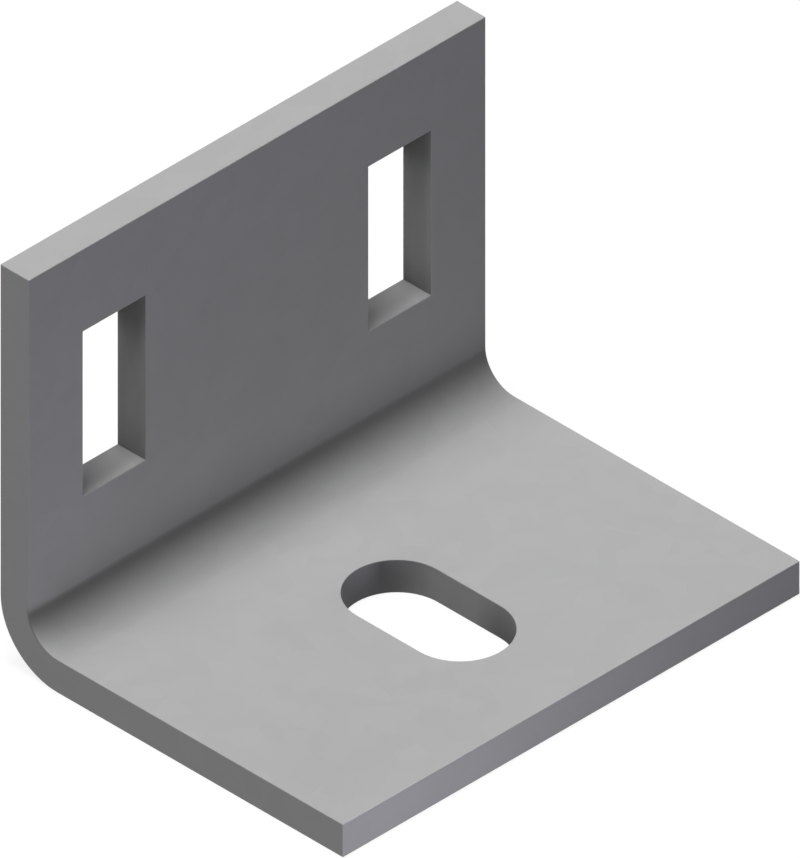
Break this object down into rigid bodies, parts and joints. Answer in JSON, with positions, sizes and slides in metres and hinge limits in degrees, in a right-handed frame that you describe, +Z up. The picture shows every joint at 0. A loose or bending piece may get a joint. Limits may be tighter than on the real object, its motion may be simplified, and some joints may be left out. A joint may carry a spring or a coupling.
{
  "type": "cable ladder support bracket",
  "caption": "Folded steel plate bracket with a round-ended bolt slot in its base and upright rectangular slots in its wall, which fixes a cable ladder to a beam or wall.",
  "frame": {"origin": "on the flat underside, at the middle of the width and of the depth, which is the middle of the box round the part, at its bottom", "axes": "+X along the width, parallel to the fold; +Y from the base's free edge to the upright's back; +Z up, along the upright"},
  "size_m": [0.08, 0.06, 0.06],
  "materials": {
    "galvanised_steel": "dull even zinc coat, mid grey, fine mottle, matt"
  },
  "bodies": {
    "root": {"support_bracket": "galvanised_steel"}
  },
  "joints": []
}
